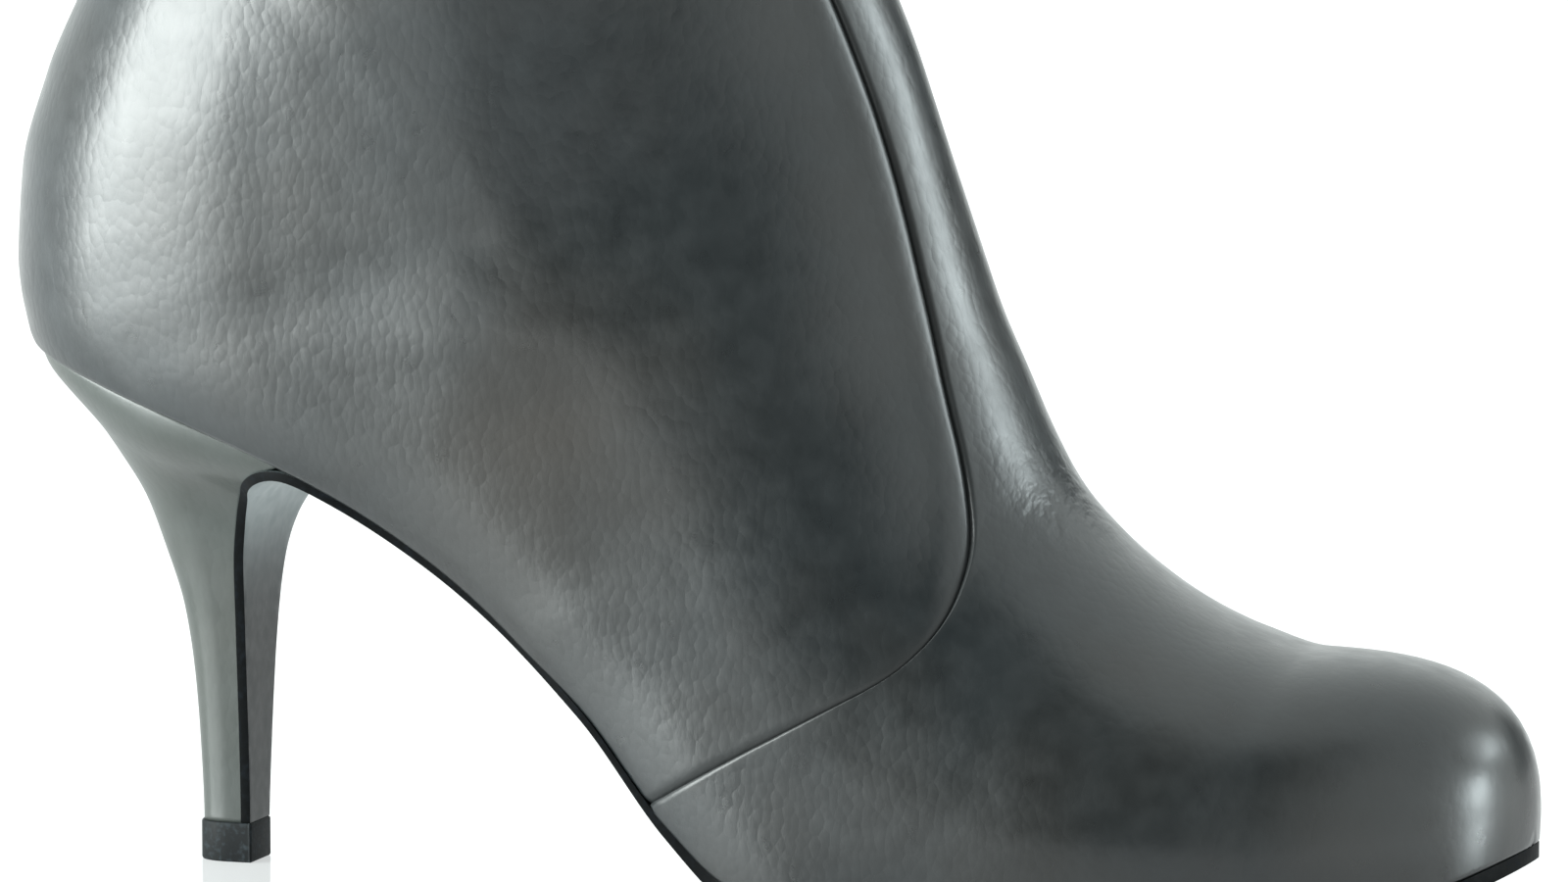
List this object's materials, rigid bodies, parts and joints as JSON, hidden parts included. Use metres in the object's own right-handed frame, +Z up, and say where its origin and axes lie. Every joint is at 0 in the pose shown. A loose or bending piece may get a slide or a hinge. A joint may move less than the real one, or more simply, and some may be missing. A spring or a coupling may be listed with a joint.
{
  "type": "heeled ankle boot",
  "caption": "Leather ankle boot for the right foot with a rounded toe, a lapped front panel, an open collar, a thin sole and a tall slim heel.",
  "frame": {"origin": "on the floor, under the middle of the boot's length and width", "axes": "+X towards the toe, -Y towards the outer side of the foot, +Z up"},
  "size_m": [0.2302, 0.0806, 0.192],
  "materials": {
    "upper_leather": "smooth, semi-gloss",
    "insole_leather": "matte",
    "sole_leather": "semi-gloss",
    "heel_leather": "smooth, satin",
    "top_piece_rubber": "matte, mottled"
  },
  "bodies": {
    "root": {"upper": "upper_leather", "insole": "insole_leather", "outsole": "sole_leather", "heel": "heel_leather", "heel_top_piece": "top_piece_rubber"}
  },
  "joints": []
}
